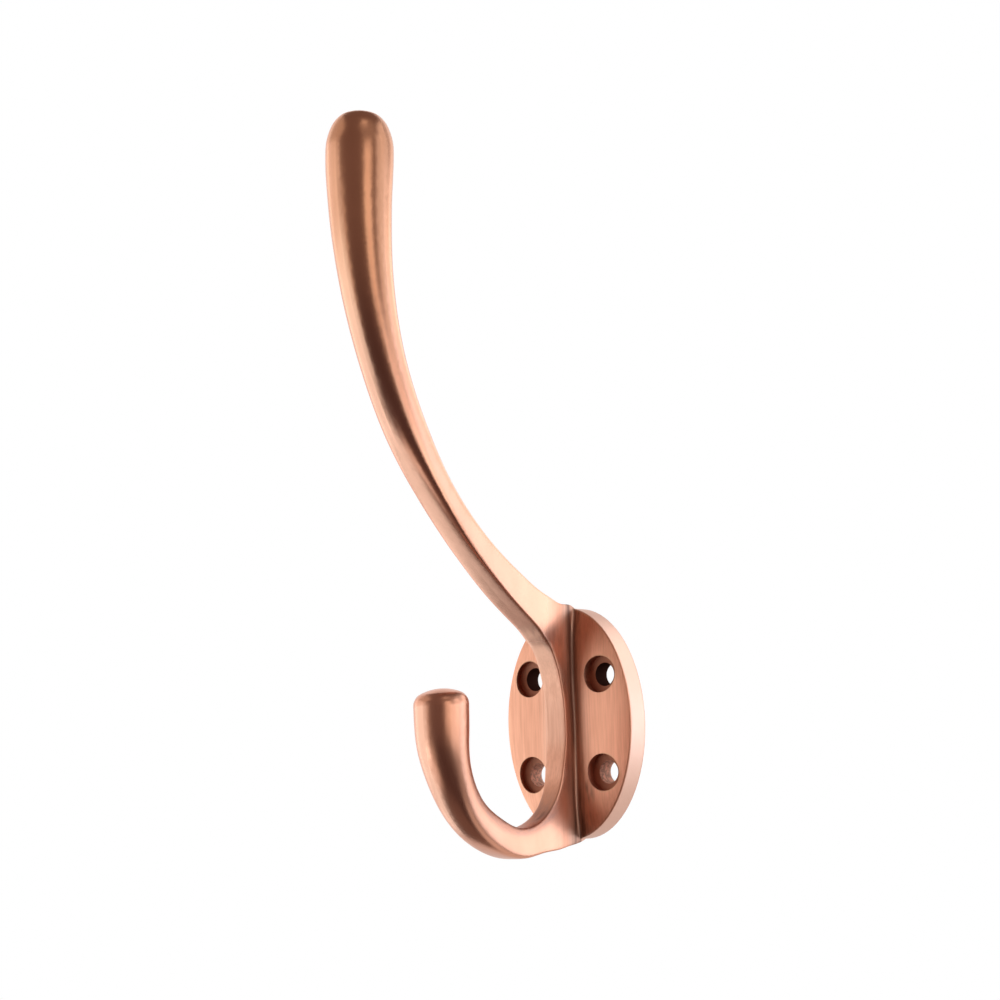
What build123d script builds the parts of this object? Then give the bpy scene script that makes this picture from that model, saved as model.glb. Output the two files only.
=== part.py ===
"""Hat and coat hook, cast in one piece.

An oval wall plate with a crowned front and four recessed screw holes carries a thin upright web.
The web runs out at the top into a long arm that swells to a round blunt end, and at the bottom into
a short hook that curls up to a smaller blunt end.

Millimetres. X is to the right of someone facing the wall, +Y goes into the wall and +Z is up. The
origin is the centre of the plate's back face, which lies on the wall.
"""
import os
from math import cos, radians, sin, sqrt, tan

from build123d import *

# Plate
plate_height = 41.9
plate_width = 28.2
rim_thickness = 4.35
crown_height = 1.0
crown_power = 6.0
plate_edge_round = 0.3

# Screw holes
hole_pitch_x = 16.0
hole_pitch_z = 17.5
hole_pattern_z = -0.35
recess_diameter = 6.6
recess_depth = 1.6
bore_diameter = 4.1
recess_floor_angle = 148.0

# Centre line of the web, arm and lower hook, in the plane of symmetry
web_line_depth = 3.0
web_line_top = 1.45
web_line_bottom = -2.3
root_bend_radius = 20.9
root_slope = 28.6
root_pull = 50.0
arm_reach = 56.1
arm_straight_from = 96.0
arm_tip_lean = 3.0
arm_pull = 16.1
arm_top = 103.4
bowl_radius = 18.2
lower_tip_top = 5.75

# Blunt ends
arm_end_diameter = 5.0
arm_shoulder_power = 2.4
arm_dome_radius = 7.0
arm_end_round = 2.0
lower_dome_radius = 8.5
lower_end_lean = 3.0
lower_end_round = 2.3

# Sections of the casting from the upper tip to the lower tip: width, depth in front of the centre
# line, depth behind it, and squareness, where 0 is an ellipse and 1 has flat sides
arm_bulb = (11.65, 5.82, 5.82, 0.0)
arm_bulb_foot = (10.8, 5.4, 5.4, 0.0)
arm_upper = (9.25, 4.62, 4.62, 0.0)
arm_middle = (7.9, 3.85, 3.85, 0.06)
arm_lower = (7.15, 3.25, 3.25, 0.22)
arm_neck = (6.1, 2.42, 2.42, 0.5)
arm_thin = (5.45, 2.35, 2.35, 0.78)
arm_foot = (5.35, 2.7, 2.7, 0.95)
root = (5.05, 3.15, 3.45, 1.0)
root_spread = (4.8, 3.6, 4.5, 1.0)
plate_top = (4.6, 3.65, 7.0, 1.0)
web_head = (4.55, 4.3, 5.25, 1.0)
web_upper = (4.5, 4.95, 2.5, 1.0)
web_waist = (4.65, 5.15, 1.6, 1.0)
web_lower = (4.4, 4.85, 3.2, 1.0)
plate_bottom = (3.95, 3.45, 8.3, 1.0)
bowl_foot = (3.7, 2.55, 5.75, 1.0)
bowl_start = (4.05, 2.05, 3.5, 0.95)
bowl_bottom = (4.75, 2.15, 3.25, 0.8)
bowl_rise = (5.45, 3.1, 2.95, 0.55)
lower_neck = (6.25, 3.45, 3.25, 0.25)
lower_swell = (7.75, 4.05, 3.65, 0.05)
lower_shank = (9.3, 4.65, 4.65, 0.0)
lower_tip = (9.6, 4.8, 4.8, 0.0)

# Round where the sides of the web meet the plate
valley_round = 0.5

# Spacing of the sections and of the crown's points, and how far cutters and ends run past the part
section_step = 2.0
crown_points = 12
crown_overrun = 1.05
end_spare = 0.3
cut_spare = 1.0
dome_share = 0.75

# Places of a quarter section's three inner Bezier points, as a share of its half size, for an ellipse
round_handles = (0.3314, 0.6314, 0.8657)


def half_section(line, share, sizes):
    """Right half of a section square to the centre line, from its front round to its back.

    The front is on the hollow side of the hook. With squareness 1 the inner points all lie on the
    corner, which leaves flat sides and a tight round corner.
    """
    width, front, back, squareness = sizes
    plane = Plane(origin=line @ share, x_dir=(1, 0, 0), z_dir=line % share)
    plane = plane * Pos(0, (front - back) / 2)
    a = width / 2
    b = (front + back) / 2
    near, middle, far = [h + squareness * (1 - h) for h in round_handles]
    shape = [(0, 1), (near, 1), (middle, far), (far, middle), (1, near), (1, 0)]
    front_quarter = Bezier(*[(a * x, b * y) for x, y in shape])
    back_quarter = Bezier(*[(a * x, -b * y) for x, y in reversed(shape)])
    return Wire([plane * front_quarter, plane * back_quarter])


def centre_line():
    """Upper tip, arm, root bend, web, bowl and lower tip, from the top of the arm to the lower tip."""
    turn = radians(90 - root_slope)
    web_top = Vector(0, -web_line_depth, web_line_top)
    web_bottom = Vector(0, -web_line_depth, web_line_bottom)
    arm_start = Vector(0, -arm_reach, arm_straight_from)
    upwards = Vector(0, sin(radians(arm_tip_lean)), cos(radians(arm_tip_lean)))
    tip_length = (arm_top - arm_straight_from) / cos(radians(arm_tip_lean))
    bend_centre = web_top - Vector(0, root_bend_radius, 0)
    bend_start = bend_centre + Vector(0, cos(turn), sin(turn)) * root_bend_radius
    bend_middle = bend_centre + Vector(0, cos(turn / 2), sin(turn / 2)) * root_bend_radius
    slope = Vector(0, -sin(turn), cos(turn))
    bowl_end = web_bottom - Vector(0, 2 * bowl_radius, 0)
    return [
        Line(arm_start + upwards * (tip_length + end_spare), arm_start),
        Bezier(arm_start, arm_start - upwards * arm_pull, bend_start + slope * root_pull, bend_start),
        ThreePointArc(bend_start, bend_middle, web_top),
        Line(web_top, web_bottom),
        ThreePointArc(web_bottom, web_bottom - Vector(0, bowl_radius, bowl_radius), bowl_end),
        Line(bowl_end, (0, bowl_end.Y, lower_tip_top + end_spare)),
    ]


def shoulder(share):
    """Section of the upper tip, a share of the way from its bulb to its top."""
    diameter = arm_bulb[0] - (arm_bulb[0] - arm_end_diameter) * share**arm_shoulder_power
    return (diameter, diameter / 2, diameter / 2, 0.0)


def stations(pieces):
    """Distance along the centre line and sizes of each given section."""
    places = [
        [(1 - share, shoulder(share)) for share in (1, 0.75, 0.5, 0.25)],
        [
            (0.0, arm_bulb),
            (0.10, arm_bulb_foot),
            (0.24, arm_upper),
            (0.38, arm_middle),
            (0.52, arm_lower),
            (0.66, arm_neck),
            (0.79, arm_thin),
            (0.90, arm_foot),
        ],
        [(0.0, root), (0.15, root_spread), (0.28, plate_top), (0.48, web_head), (0.75, web_upper)],
        [(0.5, web_waist)],
        [
            (0.12, web_lower),
            (0.23, plate_bottom),
            (0.31, bowl_foot),
            (0.40, bowl_start),
            (0.50, bowl_bottom),
            (0.62, bowl_rise),
            (0.74, lower_neck),
            (0.87, lower_swell),
        ],
        [(0.05, lower_shank), (1.0, lower_tip)],
    ]
    found = []
    start = 0
    for piece, rows in zip(pieces, places):
        found += [(start + share * piece.length, sizes) for share, sizes in rows]
        start += piece.length
    return found


def with_slopes(given):
    """Add to each station how fast its sizes change there."""
    steps = [
        [(high - low) / (s1 - s0) for low, high in zip(sizes0, sizes1)]
        for (s0, sizes0), (s1, sizes1) in zip(given, given[1:])
    ]
    before = steps[:1] + steps
    after = steps + steps[-1:]
    return [
        (s, sizes, [(p + q) / 2 for p, q in zip(into, out)])
        for (s, sizes), into, out in zip(given, before, after)
    ]


def sizes_at(table, s):
    """Section sizes at distance s, on a smooth cubic between the two stations around it."""
    i = max(j for j in range(len(table) - 1) if j == 0 or table[j][0] <= s)
    (s0, sizes0, slopes0), (s1, sizes1, slopes1) = table[i : i + 2]
    h = s1 - s0
    u = (s - s0) / h
    rise = u * u * (3 - 2 * u)
    return [
        low + rise * (high - low) + h * u * (1 - u) * (p * (1 - u) - q * u)
        for low, high, p, q in zip(sizes0, sizes1, slopes0, slopes1)
    ]


def end_trim(apex, lean, dome_radius):
    """Cutter that leaves a shallow dome, with its top at apex, on the end of an arm."""
    reach = dome_share * dome_radius
    depth = dome_radius - sqrt(dome_radius**2 - reach**2)
    block = Pos(0, 0, -depth) * Cylinder(reach, 2 * depth, align=(Align.CENTER, Align.CENTER, Align.MIN))
    ball = Pos(0, 0, -dome_radius) * Rot(90, 0, 0) * Sphere(dome_radius)
    return Pos(*apex) * Rot(lean, 0, 0) * (block - ball)


def body():
    """Web, arm and lower hook as one smooth loft of sections evenly spaced on the centre line."""
    pieces = centre_line()
    line = Wire(pieces)
    table = with_slopes(stations(pieces))
    count = round(line.length / section_step)
    shares = [i / count for i in range(count + 1)]
    sections = [half_section(line, share, sizes_at(table, share * line.length)) for share in shares]
    right = Shell.make_loft(sections)
    left = right.mirror(Plane.YZ)
    outer = [sections[0], sections[-1]]
    caps = [Face(Wire(half.edges() + half.mirror(Plane.YZ).edges())) for half in outer]
    solid = Part(Solid(Shell(right.faces() + left.faces() + caps)).wrapped)
    arm_end = (0, -arm_reach + (arm_top - arm_straight_from) * tan(radians(arm_tip_lean)), arm_top)
    lower_end = (0, -web_line_depth - 2 * bowl_radius, lower_tip_top)
    ends = [
        (arm_end, -arm_tip_lean, arm_dome_radius, arm_end_round),
        (lower_end, lower_end_lean, lower_dome_radius, lower_end_round),
    ]
    for apex, lean, dome_radius, edge_round in ends:
        solid -= end_trim(apex, lean, dome_radius)
        dome = solid.faces().filter_by(GeomType.SPHERE).sort_by_distance(apex)[0]
        solid = fillet(dome.edges(), edge_round)
    return solid


def plate_thickness(share):
    """Thickness at a share of the way from the middle of the plate to its rim."""
    return rim_thickness + crown_height * (1 - share**crown_power)


def plate():
    """An oval block, nearly flat in front, that rolls off to a rim of one thickness all round."""
    thickest = rim_thickness + crown_height
    oval = extrude(Plane.XZ * Ellipse(plate_width / 2, plate_height / 2), thickest)
    shares = [i * crown_overrun / crown_points for i in range(crown_points + 1)]
    front = Spline([(share * plate_width / 2, -plate_thickness(share)) for share in shares])
    sides = Polyline(front @ 1, ((front @ 1).X, cut_spare), (0, cut_spare), front @ 0)
    turned = revolve(make_face([front, sides]), Axis.Y)
    blank = oval & scale(turned, by=(1, 1, plate_height / plate_width))
    rim = blank.edges().filter_by(lambda edge: edge.center().Y < -rim_thickness / 2)
    return fillet(rim, plate_edge_round)


def screw_holes():
    """Cutters for the screw holes: a recess with a shallow cone for its floor, then a plain bore."""
    sink = (recess_diameter - bore_diameter) / 2 / tan(radians(recess_floor_angle / 2))
    cutters = []
    for side in (-1, 1):
        for level in (-1, 1):
            x = side * hole_pitch_x / 2
            z = hole_pattern_z + level * hole_pitch_z / 2
            share = sqrt((2 * x / plate_width) ** 2 + (2 * z / plate_height) ** 2)
            floor = plate_thickness(share) - recess_depth
            mouth = rim_thickness + crown_height + cut_spare
            half = [
                (0, cut_spare),
                (bore_diameter / 2, cut_spare),
                (bore_diameter / 2, -floor + sink),
                (recess_diameter / 2, -floor),
                (recess_diameter / 2, -mouth),
                (0, -mouth),
            ]
            cutters.append(Pos(x, 0, z) * revolve(make_face(Polyline(half, close=True)), Axis.Y))
    return cutters


def in_valley(edge):
    """True for the edges where the sides of the web meet the plate's crowned face."""
    middle = edge.center()
    on_crown = rim_thickness <= -middle.Y <= rim_thickness + crown_height
    return on_crown and abs(middle.X) < web_waist[0] and abs(middle.Z) < plate_height / 2


def hook():
    solid = plate() + body()
    valley = solid.edges().filter_by(in_valley)
    solid = fillet(valley, valley_round)
    for cutter in screw_holes():
        solid -= cutter
    return solid


os.makedirs("parts", exist_ok=True)
part = hook()
export_step(part, "parts/hook.step")
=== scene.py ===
"""Looks of the hat and coat hook: one casting in satin brushed copper, on a white studio ground."""

import math

import bpy
from mathutils import Matrix, Vector

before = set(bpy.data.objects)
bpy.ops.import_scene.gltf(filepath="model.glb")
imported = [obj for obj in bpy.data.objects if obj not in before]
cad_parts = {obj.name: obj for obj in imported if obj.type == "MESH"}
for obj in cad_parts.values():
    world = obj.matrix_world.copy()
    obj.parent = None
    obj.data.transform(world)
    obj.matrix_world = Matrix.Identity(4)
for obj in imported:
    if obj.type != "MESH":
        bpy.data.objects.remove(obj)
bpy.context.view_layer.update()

MM_PER_METRE = 1000

# camera of the photograph, in degrees, metres and pixels of a frame 1000 pixels wide,
# with the width of its sensor in millimetres
CAMERA_AZIMUTH = 39.253
CAMERA_ELEVATION = -7.697
CAMERA_ROLL = -2.006
FRAME_PIXELS = 1000
FOCAL_PIXELS = 2200
PIXELS_PER_METRE = 5449.5
ORIGIN_PIXEL = (582.65, 723.18)
SENSOR_WIDTH = 36.0
NEAREST_SEEN = 0.01

# places that the lamps face, and the distances of lamps from them, in metres
PART_MIDDLE = Vector((0.0, -0.03, 0.035))
PLATE_MIDDLE = Vector((0.0, -0.003, 0.0))
HOOK_FRONT = Vector((0.0, -0.045, -0.01))
HOOK_TIP = Vector((0.0, -0.0395, 0.0045))
LAMP_DISTANCE = 1.0
SIDE_CARD_DISTANCE = 0.25
RIM_CARD_DISTANCE = 0.15
NEAR_CARD_DISTANCE = 0.06

# colours of the lamps
COOL = (0.80, 1.05, 1.17)
PALE = (0.84, 1.04, 1.24)
DAYLIGHT = (0.92, 1.02, 1.06)
WARM = (1.0, 1.0, 0.92)

# soft lamps all round the part: name, degrees round from straight in front of the plate,
# degrees above level, brightness and colour
LAMPS = (
    ("key_left", (-94, -26), (-31, 7), 1.42, COOL),
    ("key_edge", (-26, -13), (-14, 14), 0.5, WARM),
    ("key_low", (-102, -51), (-53, -31), 1.36, COOL),
    ("upper_left", (-94, -30), (7, 27), 0.92, DAYLIGHT),
    ("high_left", (-94, -34), (27, 58), 0.42, WARM),
    ("strip_right", (57, 82), (-8, 26), 0.95, WARM),
    ("high_right", (55, 95), (32, 66), 0.17, WARM),
    ("dome_spot", (62, 74), (57, 65), 0.8, WARM),
    ("side_right", (102, 122), (-2, 36), 0.68, DAYLIGHT),
    ("back_right", (124, 150), (-16, 13), 1.85, PALE),
    ("back_high", (122, 150), (14, 50), 0.72, DAYLIGHT),
    ("back_high_left", (150, 182), (14, 50), 0.35, DAYLIGHT),
)

# lamps that stand in for white cards close to the part, one for the plate's rim, three for the
# lower hook and one for its tip: the same values, then the place that each faces and its distance
CARDS = (
    ("rim_card", (140, 182), (-22, 45), 1.15, DAYLIGHT, PLATE_MIDDLE, RIM_CARD_DISTANCE),
    ("side_card", (80, 122), (-12, 14), 1.25, DAYLIGHT, HOOK_FRONT, SIDE_CARD_DISTANCE),
    ("front_card", (-46, -18), (-48, -8), 0.9, DAYLIGHT, HOOK_FRONT, NEAR_CARD_DISTANCE),
    ("front_card_edge", (-18, 2), (-48, -8), 0.42, WARM, HOOK_FRONT, NEAR_CARD_DISTANCE),
    ("tip_card", (94, 120), (16, 38), 0.6, DAYLIGHT, HOOK_TIP, NEAR_CARD_DISTANCE),
)

# floor well below the part and behind it, so the camera's side of the room stays dark in the metal:
# level and corners in metres, its paint, and its share of plain white to the camera and in the metal
FLOOR_LEVEL = -0.9
FLOOR_CORNERS = ((-1.8, 0.35), (1.8, 2.4))
FLOOR_PAINT = (0.85, 0.85, 0.85, 1.0)
FLOOR_ROUGHNESS = 0.8
FLOOR_WHITENESS = 0.97
MIRRORED_WHITENESS = 0.68

# the dim warm room around the camera, above and below eye level
ROOM_HIGH = (0.18, 0.135, 0.125, 1.0)
ROOM_LOW = (0.075, 0.05, 0.05, 1.0)
WHITE = (1.0, 1.0, 1.0, 1.0)

# middle of the white backdrop, in degrees round from straight in front of the plate
BACKDROP_LONGITUDE = 222.0

# where the room and the backdrop change, from start to end of each change: heights as the sine of the
# angle above level, and the backdrop's sides as the cosine of the angle from its middle
ROOM_RISE = (-0.35, 0.05)
ROOM_FOOT = (-0.7, -0.95)
BACKDROP_SIDES = (0.5, 0.75)
BACKDROP_BOTTOM = (-0.8, -0.35)
BACKDROP_TOP = (0.92, 0.6)

# colours of the metal, and of highlights and shade painted on it
COPPER = (0.80, 0.368, 0.238, 1.0)
# paler copper painted on the plate's rim as a highlight
PAINTED_RIM_HIGHLIGHT = (0.95, 0.595, 0.46, 1.0)
# dark colour of the creases and patches: partly patina, partly painted shade
PATINA_AND_SHADE = (0.13, 0.065, 0.05, 1.0)
# darker copper painted in the screw holes' recesses as shade
RECESS_SHADE = (0.46, 0.17, 0.10, 1.0)
# near-black painted in the two upper bores as shade
UPPER_BORE_SHADE = (0.05, 0.017, 0.012, 1.0)
# paler, speckled copper in the two lower bores
PALE_BORE = (0.54, 0.31, 0.23, 1.0)
PALER_BORE = (0.86, 0.50, 0.36, 1.0)
ROUGH_BOWL = (0.62, 0.32, 0.24, 1.0)
# yellower copper painted round the screw recesses as a highlight on their edges
HOLE_EDGE_HIGHLIGHT = (0.78, 0.46, 0.25, 1.0)

# tints that the copper is multiplied by
PLATE_TINT = (1.18, 1.14, 1.10, 1.0)
TOP_TINT = (1.0, 1.03, 0.94, 1.0)
VALLEY_TINT = (1.0, 1.16, 1.26, 1.0)
MOTTLE_DARK = (0.97, 0.96, 0.95, 1.0)
MOTTLE_PALE = (1.03, 1.03, 1.03, 1.0)
LINE_DARK = (0.94, 0.935, 0.93, 1.0)
LINE_PALE = (1.05, 1.055, 1.06, 1.0)

# how much of each mark shows, from 0 to 1
ARM_BRUSHING = 0.12
CREASE_COVER = (0.3, 1.0)
BOWL_COVER = (0.3, 0.9)
HOLE_HIGHLIGHT_COVER = 0.35
PATINA_AND_SHADE_COVER = 0.85

# places on the part that the finish follows, in millimetres
HOLE_X = 8.0
HOLE_Z = 8.75
HOLE_MIDDLE_Z = -0.35
RECESS_RADIUS = 3.3
BORE_RADIUS = 2.05
PLATE_FACE = -5.3
BOWL_Y = -21.2
BOWL_Z = -2.3
BOWL_INSIDE = 16.8
BOWL_CENTRE_LINE = 18.2
ARM_REACH = -56.5
ARM_SWEEP = 42.6
ARM_TOP = 96.0
ARM_RISE = 76.2

# the upper arm's centre line sweeps out as this power of the height
ARM_BEND_POWER = 3

# where the finish changes, in millimetres from start to end of each change: by height
BOWL_AT_Z = (-6.0, -14.0)
ARM_AT_Z = (14.0, 20.0)
ARM_TOP_AT_Z = (50.0, 85.0)
UPPER_HOLES_AT_Z = (-1.0, 1.0)
HOOK_AT_Z = (14.0, 6.0)

# by Y, which is 0 at the wall and negative in front of it
ARMS_AT_Y = (-9.0, -12.5)
HOOK_AT_Y = (-9.0, -14.0)
SATIN_AT_Y = (-13.0, -6.5)
SUNK_AT_Y = (PLATE_FACE - 0.1, PLATE_FACE + 0.25)
RIM_AT_Y = (-4.4, -3.9)
OFF_RIM_Y = (-3.9, -4.6)
RIM_OFF_BACK_Y = (0.0, -0.3)
HOLES_OFF_BACK_Y = (-0.2, -0.8)
FACE_AT_Y = (-6.6, -5.9)
LEVEL_FACE_AT_Y = (-6.4, -5.9)
CREASE_AT_Y = (-8.6, -5.4)
VALLEY_AT_Y = (-8.6, -7.0)

# by distance to either side of the middle
FACE_AT_SIDE = (2.4, 3.2)
CREASE_AT_SIDE = (4.6, 2.6)
VALLEY_AT_SIDE = (6.5, 3.0)

# by distance from the middle of a screw hole, or of the bowl
RECESS_EDGE = (RECESS_RADIUS + 0.15, RECESS_RADIUS)
RECESS_HALO = (RECESS_RADIUS + 0.45, RECESS_RADIUS)
BORE_EDGE = (BORE_RADIUS + 0.12, BORE_RADIUS + 0.02)
BOWL_WALL = (BOWL_INSIDE + 1.2, BOWL_INSIDE - 0.2)

# dark patches, partly patina and partly painted shade: middle and radii in millimetres, and strength,
# then the shares of the radii between which each one fades in
DARK_PATCHES = (
    ((2.3, -10.2, 15.0), (1.5, 2.8, 3.6), 0.55),
    ((2.4, -5.9, 14.0), (1.2, 1.5, 5.0), 0.9),
    ((3.2, -5.4, 9.5), (1.1, 1.0, 8.0), 0.6),
    ((4.3, -5.3, -12.8), (2.2, 1.0, 3.0), 0.75),
    ((3.1, -5.2, -15.0), (1.6, 1.2, 6.5), 0.7),
    ((3.4, -4.9, -18.0), (2.6, 1.4, 4.5), 0.7),
    ((1.7, -13.2, 15.0), (2.2, 4.6, 4.2), 0.6),
    ((0.6, -14.2, -16.2), (2.6, 2.4, 2.2), 0.5),
    ((4.3, -39.6, 4.3), (1.4, 1.4, 1.2), 0.4),
)
PATCH_EDGE = (1.0, 0.3)

# cloudy patterns: lumps a millimetre along each axis, detail and roughness
LINES = ((3.4, 3.4, 0.09), 3.0, 0.6)
STREAKS = ((0.9, 0.9, 0.05), 2.0, 0.5)
MOTTLE = ((0.25, 0.25, 0.12), 3.0, 0.5)
CLOUDS = ((1.2, 0.35, 0.16), 3.0, 0.5)
GRAIN = ((1.3, 1.3, 0.35), 4.0, 0.65)
SPECKLE = ((1.6, 1.6, 1.6), 3.0, 0.5)

# parts of a pattern's range, from 0 to 1, over which it goes from none to full
LINE_RANGE = (0.3, 0.7)
MOTTLE_RANGE = (0.3, 0.7)
STREAK_RANGE = (0.36, 0.64)
CLOUD_RANGE = (0.34, 0.66)
GRAIN_RANGE = (0.35, 0.65)
SPECKLE_RANGE = (0.35, 0.65)

# roughness of the arms and of the plate, and what is added to it
ARM_ROUGHNESS = 0.27
PLATE_ROUGHNESS = 0.48
HOOK_DULLING = 0.02
LINE_DULLING = (0.03, -0.03)
BOWL_DULLING = 0.14
RECESS_DULLING = 0.08
BORE_DULLING = 0.3

# the plate's face shades flatter than its crown: the way to the front, how squarely a surface has
# to face it, as a cosine, and what is added to the surface's normal
FORWARD = (0, -1, 0)
SQUARE_TO_FRONT = (0.86, 0.97)
LEVELLING = (0, -1.3, 0)

# relief of the finish in metres, and of the bowl's grain as a multiple of the brush lines
RELIEF = 0.000012
GRAIN_RELIEF = 2.0


def direction(longitude, latitude):
    """Unit vector at an angle round Z from straight in front of the plate, and an angle above level."""
    around = math.radians(longitude)
    above = math.radians(latitude)
    level = math.cos(above)
    return Vector((math.sin(around) * level, -math.cos(around) * level, math.sin(above)))


def add_camera():
    """The camera of the photograph, from its angles and from where it sees the origin."""
    back = direction(CAMERA_AZIMUTH, CAMERA_ELEVATION)
    level_right = direction(CAMERA_AZIMUTH + 90, 0)
    turn = Matrix.Rotation(math.radians(CAMERA_ROLL), 3, back)
    right = turn @ level_right
    up = turn @ back.cross(level_right)
    across = (ORIGIN_PIXEL[0] - FRAME_PIXELS / 2) / PIXELS_PER_METRE
    down = (ORIGIN_PIXEL[1] - FRAME_PIXELS / 2) / PIXELS_PER_METRE
    place = FOCAL_PIXELS / PIXELS_PER_METRE * back - across * right + down * up
    data = bpy.data.cameras.new("photo_camera")
    data.sensor_width = SENSOR_WIDTH
    data.lens = SENSOR_WIDTH * FOCAL_PIXELS / FRAME_PIXELS
    data.clip_start = NEAREST_SEEN
    camera = bpy.data.objects.new("photo_camera", data)
    bpy.context.scene.collection.objects.link(camera)
    camera.matrix_world = Matrix.Translation(place) @ Matrix((right, up, back)).transposed().to_4x4()
    bpy.context.scene.camera = camera


def add_softbox(
    name, longitudes, latitudes, brightness, colour, facing=PART_MIDDLE, distance=LAMP_DISTANCE
):
    """A rectangular lamp that fills a range of angles as the part sees it. Brightness 1 looks white."""
    wide = 2 * distance * math.tan(math.radians(longitudes[1] - longitudes[0]) / 2)
    tall = 2 * distance * math.tan(math.radians(latitudes[1] - latitudes[0]) / 2)
    outward = direction(sum(longitudes) / 2, sum(latitudes) / 2)
    data = bpy.data.lights.new(name, "AREA")
    data.shape = "RECTANGLE"
    data.size = wide
    data.size_y = tall
    data.energy = brightness * math.pi * wide * tall
    data.color = colour
    lamp = bpy.data.objects.new(name, data)
    bpy.context.scene.collection.objects.link(lamp)
    lamp.location = facing + distance * outward
    lamp.rotation_euler = outward.to_track_quat("Z", "Y").to_euler()
    lamp.visible_camera = False


class Nodes:
    """Short calls for adding and linking the nodes of one material or world."""

    def __init__(self, tree):
        self.tree = tree
        self.made = tree.nodes

    def put(self, value, socket):
        """Set a socket to a fixed value, or link it to another node's output."""
        if isinstance(value, bpy.types.NodeSocket):
            self.tree.links.new(value, socket)
        else:
            socket.default_value = value

    def fill(self, node, *values):
        """Put values into the first sockets of a node, in order."""
        for value, socket in zip(values, node.inputs):
            self.put(value, socket)

    def math(self, operation, first, second=0.0):
        """A sum on one or two numbers."""
        node = self.made.new("ShaderNodeMath")
        node.operation = operation
        self.fill(node, first, second)
        return node.outputs[0]

    def product(self, *factors):
        """All the factors multiplied together."""
        result = factors[0]
        for factor in factors[1:]:
            result = self.math("MULTIPLY", result, factor)
        return result

    def vector(self, operation, first, second=(0, 0, 0)):
        """A sum on one or two vectors."""
        node = self.made.new("ShaderNodeVectorMath")
        node.operation = operation
        self.fill(node, first, second)
        return node.outputs["Value" if operation in ("DOT_PRODUCT", "LENGTH") else "Vector"]

    def join(self, x, y, z):
        """A vector from three numbers."""
        node = self.made.new("ShaderNodeCombineXYZ")
        self.fill(node, x, y, z)
        return node.outputs[0]

    def distance(self, across, along):
        """Distance covered by two steps at right angles."""
        return self.vector("LENGTH", self.join(across, along, 0.0))

    def ramp(self, value, start, end, first=0.0, last=1.0):
        """Smooth change from first to last as a value goes from start to end."""
        node = self.made.new("ShaderNodeMapRange")
        node.interpolation_type = "SMOOTHSTEP"
        for name, setting in (
            ("Value", value),
            ("From Min", start),
            ("From Max", end),
            ("To Min", first),
            ("To Max", last),
        ):
            self.put(setting, node.inputs[name])
        return node.outputs["Result"]

    def mix(self, share, first, second, blend="MIX"):
        """One colour over another, by a share from 0 to 1."""
        node = self.made.new("ShaderNodeMix")
        node.data_type = "RGBA"
        node.blend_type = blend
        self.put(share, node.inputs["Factor"])
        colours = [socket for socket in node.inputs if socket.type == "RGBA"]
        self.put(first, colours[0])
        self.put(second, colours[1])
        return [socket for socket in node.outputs if socket.type == "RGBA"][0]

    def tint(self, share, colour, tint):
        """A colour multiplied by a tint, by a share from 0 to 1."""
        return self.mix(share, colour, tint, "MULTIPLY")

    def mix_shaders(self, share, first, second):
        """One shader over another, by a share from 0 to 1."""
        node = self.made.new("ShaderNodeMixShader")
        self.fill(node, share, first, second)
        return node.outputs[0]

    def noise(self, place, stretch, detail, roughness):
        """Cloudy pattern from 0 to 1, with this many lumps a millimetre along each axis."""
        node = self.made.new("ShaderNodeTexNoise")
        self.put(self.vector("MULTIPLY", place, stretch), node.inputs["Vector"])
        self.put(1.0, node.inputs["Scale"])
        self.put(detail, node.inputs["Detail"])
        self.put(roughness, node.inputs["Roughness"])
        return node.outputs["Fac"]

    def spot(self, place, middle, radii):
        """Soft mask, 1 in the middle of an egg shape and 0 outside it."""
        offset = self.vector("SUBTRACT", place, middle)
        spread = self.vector("LENGTH", self.vector("DIVIDE", offset, radii))
        return self.ramp(spread, *PATCH_EDGE)


def add_world():
    """White all round to the camera. In the metal, a white backdrop behind the part and a dim room."""
    world = bpy.data.worlds.new("studio")
    bpy.context.scene.world = world
    world.use_nodes = True
    nodes = Nodes(world.node_tree)
    nodes.made.clear()
    way = nodes.made.new("ShaderNodeTexCoord").outputs["Generated"]
    height = nodes.vector("DOT_PRODUCT", way, (0, 0, 1))
    room = nodes.mix(nodes.ramp(height, *ROOM_RISE), ROOM_LOW, ROOM_HIGH)
    room = nodes.mix(nodes.ramp(height, *ROOM_FOOT), room, ROOM_HIGH)
    behind = nodes.vector("DOT_PRODUCT", way, direction(BACKDROP_LONGITUDE, 0))
    backdrop = nodes.product(
        nodes.ramp(behind, *BACKDROP_SIDES),
        nodes.ramp(height, *BACKDROP_BOTTOM),
        nodes.ramp(height, *BACKDROP_TOP),
    )
    studio = nodes.made.new("ShaderNodeBackground")
    nodes.put(nodes.mix(backdrop, room, WHITE), studio.inputs["Color"])
    seen = nodes.made.new("ShaderNodeBackground")
    nodes.put(WHITE, seen.inputs["Color"])
    by_camera = nodes.made.new("ShaderNodeLightPath").outputs["Is Camera Ray"]
    joined = nodes.mix_shaders(by_camera, studio.outputs[0], seen.outputs[0])
    output = nodes.made.new("ShaderNodeOutputWorld")
    nodes.put(joined, output.inputs["Surface"])


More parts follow.
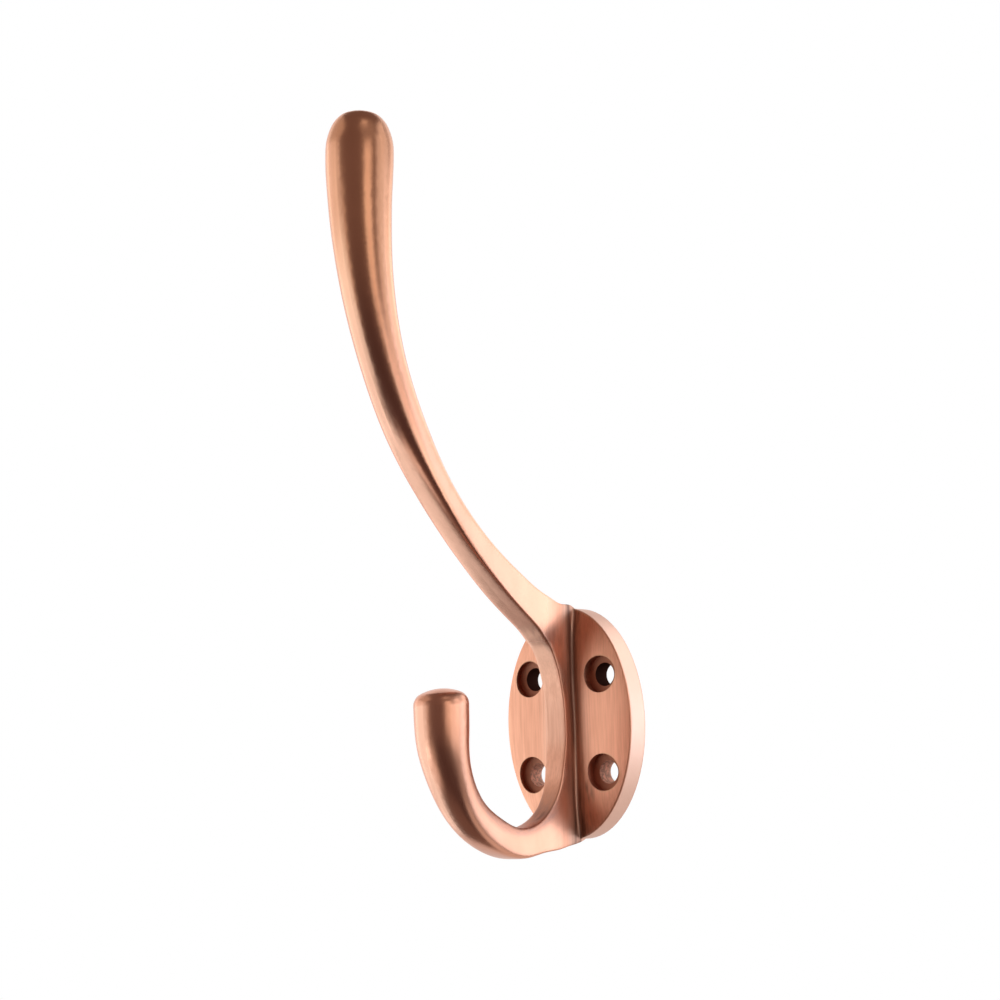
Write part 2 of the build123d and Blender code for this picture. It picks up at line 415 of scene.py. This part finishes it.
def add_floor():
    """A plain pale floor, nearly white to the camera and somewhat dimmer in the metal."""
    (left, near), (right, far) = FLOOR_CORNERS
    outline = ((left, near), (right, near), (right, far), (left, far))
    mesh = bpy.data.meshes.new("floor")
    mesh.from_pydata([(x, y, FLOOR_LEVEL) for x, y in outline], [], [(0, 1, 2, 3)])
    floor = bpy.data.objects.new("floor", mesh)
    bpy.context.scene.collection.objects.link(floor)
    material = bpy.data.materials.new("floor_white")
    material.use_nodes = True
    nodes = Nodes(material.node_tree)
    paint = nodes.made["Principled BSDF"]
    nodes.put(FLOOR_PAINT, paint.inputs["Base Color"])
    nodes.put(FLOOR_ROUGHNESS, paint.inputs["Roughness"])
    white = nodes.made.new("ShaderNodeEmission")
    rays = nodes.made.new("ShaderNodeLightPath").outputs
    seen = nodes.product(rays["Is Camera Ray"], FLOOR_WHITENESS)
    mirrored = nodes.product(rays["Is Glossy Ray"], MIRRORED_WHITENESS)
    whiteness = nodes.math("MAXIMUM", seen, mirrored)
    joined = nodes.mix_shaders(whiteness, paint.outputs[0], white.outputs[0])
    nodes.put(joined, nodes.made["Material Output"].inputs["Surface"])
    mesh.materials.append(material)


class CopperFinish(Nodes):
    """Nodes of the satin copper, whose marks follow the place on the part in millimetres."""

    def __init__(self, tree):
        super().__init__(tree)
        metres = self.made.new("ShaderNodeTexCoord").outputs["Object"]
        self.place = self.vector("MULTIPLY", metres, (MM_PER_METRE, MM_PER_METRE, MM_PER_METRE))
        split = self.made.new("ShaderNodeSeparateXYZ")
        self.put(self.place, split.inputs[0])
        self.x, self.y, self.z = split.outputs
        self.side = self.math("ABSOLUTE", self.x)
        self.off_rim = self.ramp(self.y, *OFF_RIM_Y)
        self.brushed = self.ramp(self.y, *ARMS_AT_Y, 1.0, ARM_BRUSHING)
        off_plate = self.ramp(self.y, *ARMS_AT_Y)
        self.on_arm = self.product(self.ramp(self.z, *ARM_AT_Z), off_plate)
        self.in_bowl = self.product(self.ramp(self.z, *BOWL_AT_Z), off_plate)
        self.find_lines_and_grain()
        self.find_holes()

    def find_lines_and_grain(self):
        """Brush lines, upright on the plate and along both arms, and the rough casting in the bowl."""
        # distance from the middle of the bowl, and the way round it, so that marks follow the curve
        out_y = self.math("SUBTRACT", self.y, BOWL_Y)
        out_z = self.math("SUBTRACT", self.z, BOWL_Z)
        radius = self.distance(out_y, out_z)
        turn = self.product(self.math("ARCTAN2", out_z, out_y), BOWL_CENTRE_LINE)
        along_bowl = self.join(self.x, radius, turn)

        # depth from the upper arm's centre line, so that lines follow its sweep
        rise = self.math("DIVIDE", self.math("SUBTRACT", ARM_TOP, self.z), ARM_RISE)
        bend = self.math("POWER", self.math("MAXIMUM", rise, 0.0), ARM_BEND_POWER)
        from_reach = self.math("SUBTRACT", self.y, ARM_REACH)
        depth = self.math("SUBTRACT", from_reach, self.product(bend, ARM_SWEEP))
        along_arm = self.join(self.x, depth, self.z)

        lines = self.noise(self.place, *LINES)
        lines = self.mix(self.on_arm, lines, self.noise(along_arm, *LINES))
        self.lines = self.mix(self.in_bowl, lines, self.noise(along_bowl, *LINES))
        self.grain = self.noise(along_bowl, *GRAIN)
        self.inside = self.product(self.in_bowl, self.ramp(radius, *BOWL_WALL))

    def find_holes(self):
        """Masks of the screw holes, by distance from the nearest of the four."""
        off_x = self.math("SUBTRACT", self.side, HOLE_X)
        off_middle = self.math("ABSOLUTE", self.math("SUBTRACT", self.z, HOLE_MIDDLE_Z))
        off_z = self.math("SUBTRACT", off_middle, HOLE_Z)
        away = self.distance(off_x, off_z)
        sunk = self.ramp(self.y, *SUNK_AT_Y)
        off_back = self.product(sunk, self.ramp(self.y, *HOLES_OFF_BACK_Y))
        self.recess = self.product(self.ramp(away, *RECESS_EDGE), off_back)
        # a painted highlight on the edge round each recess
        self.hole_edge_highlight = self.product(self.ramp(away, *RECESS_HALO), off_back)
        self.bore = self.product(self.ramp(away, *BORE_EDGE), sunk)
        self.upper = self.ramp(self.z, *UPPER_HOLES_AT_Z)

    def patina_and_shade(self):
        """Patina left by the brush in the creases, with painted shade there, and a few dark patches of
        both, as a share.
        """
        streaks = self.noise(self.place, *STREAKS)
        dark = self.product(
            self.ramp(self.side, *CREASE_AT_SIDE),
            self.ramp(self.y, *CREASE_AT_Y),
            self.off_rim,
            self.ramp(streaks, *STREAK_RANGE, *CREASE_COVER),
        )
        clouds = self.ramp(self.noise(self.place, *CLOUDS), *CLOUD_RANGE)
        for middle, radii, strength in DARK_PATCHES:
            patch = self.product(self.spot(self.place, middle, radii), clouds, strength)
            dark = self.math("MAXIMUM", dark, patch)
        return self.product(dark, PATINA_AND_SHADE_COVER)

    def bore_colour(self):
        """Paler, speckled copper in the two lower bores, and near-black painted shade in the two upper
        ones.
        """
        speckle = self.noise(self.place, *SPECKLE)
        lower = self.mix(self.ramp(speckle, *SPECKLE_RANGE), PALE_BORE, PALER_BORE)
        return self.mix(self.upper, lower, UPPER_BORE_SHADE)

    def colour(self):
        """Copper with its tints, and the marks, painted highlights and painted shade over it."""
        mottle = self.noise(self.place, *MOTTLE)
        mottle_tone = self.mix(self.ramp(mottle, *MOTTLE_RANGE), MOTTLE_DARK, MOTTLE_PALE)
        line_tone = self.mix(self.ramp(self.lines, *LINE_RANGE), LINE_DARK, LINE_PALE)
        on_face = self.product(
            self.ramp(self.side, *FACE_AT_SIDE),
            self.ramp(self.y, *RIM_AT_Y, 1.0, 0.0),
            self.ramp(self.y, *FACE_AT_Y),
        )
        # plate and web mirror each other in the valley between them, which would turn it too red
        in_valley = self.product(
            self.ramp(self.side, *VALLEY_AT_SIDE),
            self.ramp(self.y, *VALLEY_AT_Y),
            self.off_rim,
        )
        colour = self.tint(1.0, COPPER, mottle_tone)
        colour = self.tint(on_face, colour, PLATE_TINT)
        colour = self.tint(in_valley, colour, VALLEY_TINT)
        colour = self.tint(self.ramp(self.z, *ARM_TOP_AT_Z), colour, TOP_TINT)
        colour = self.tint(self.brushed, colour, line_tone)

        rough = self.product(self.inside, self.ramp(self.grain, *GRAIN_RANGE, *BOWL_COVER))
        # the plate's rim, short of its back face, is painted paler as a highlight
        rim_highlight = self.product(self.ramp(self.y, *RIM_AT_Y), self.ramp(self.y, *RIM_OFF_BACK_Y))
        for share, mark in (
            (rough, ROUGH_BOWL),
            (rim_highlight, PAINTED_RIM_HIGHLIGHT),
            (self.product(self.hole_edge_highlight, HOLE_HIGHLIGHT_COVER), HOLE_EDGE_HIGHLIGHT),
            (self.patina_and_shade(), PATINA_AND_SHADE),
            # the recesses, painted darker as shade
            (self.recess, RECESS_SHADE),
            (self.bore, self.bore_colour()),
        ):
            colour = self.mix(share, colour, mark)
        return colour

    def roughness(self):
        """Satin on the plate and glossier on the arms, but duller in the bowl and the screw holes."""
        roughness = self.ramp(self.y, *SATIN_AT_Y, ARM_ROUGHNESS, PLATE_ROUGHNESS)
        on_hook = self.product(self.ramp(self.z, *HOOK_AT_Z), self.ramp(self.y, *HOOK_AT_Y))
        line_dulling = self.ramp(self.lines, *LINE_RANGE, *LINE_DULLING)
        for share, dulling in (
            (on_hook, HOOK_DULLING),
            (self.brushed, line_dulling),
            (self.inside, BOWL_DULLING),
            (self.recess, RECESS_DULLING),
            (self.bore, BORE_DULLING),
        ):
            roughness = self.math("ADD", roughness, self.product(share, dulling))
        return roughness

    def metallic(self):
        """Metal all over, apart from the painted shade in the upper bores."""
        return self.math("SUBTRACT", 1.0, self.product(self.bore, self.upper))

    def normal(self):
        """Relief of the brush lines and of the bowl's grain, and a plate face that shades flatter."""
        facing = self.made.new("ShaderNodeNewGeometry").outputs["Normal"]
        front = self.vector("DOT_PRODUCT", facing, FORWARD)
        on_face = self.product(self.ramp(front, *SQUARE_TO_FRONT), self.ramp(self.y, *LEVEL_FACE_AT_Y))
        levelling = self.vector("MULTIPLY", LEVELLING, on_face)
        levelled = self.vector("NORMALIZE", self.vector("ADD", facing, levelling))
        line_relief = self.product(self.lines, self.brushed)
        grain_relief = self.product(self.grain, self.inside, GRAIN_RELIEF)
        bump = self.made.new("ShaderNodeBump")
        self.put(1.0, bump.inputs["Strength"])
        self.put(RELIEF, bump.inputs["Distance"])
        self.put(self.math("ADD", line_relief, grain_relief), bump.inputs["Height"])
        self.put(levelled, bump.inputs["Normal"])
        return bump.outputs["Normal"]


def copper():
    """Satin copper with fine brush lines, dark tarnish and painted shade in the creases, painted
    highlights and rougher screw holes.
    """
    material = bpy.data.materials.new("satin_copper_brushed")
    material.use_nodes = True
    finish = CopperFinish(material.node_tree)
    inputs = finish.made["Principled BSDF"].inputs
    for name, value in (
        ("Base Color", finish.colour()),
        ("Roughness", finish.roughness()),
        ("Metallic", finish.metallic()),
        ("Normal", finish.normal()),
        ("Specular IOR Level", 0.0),
    ):
        finish.put(value, inputs[name])
    return material


add_camera()
add_world()
add_floor()
for lamp in LAMPS + CARDS:
    add_softbox(*lamp)

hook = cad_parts["hook"]
hook.data.materials.clear()
hook.data.materials.append(copper())

bpy.context.scene.view_settings.view_transform = "Standard"
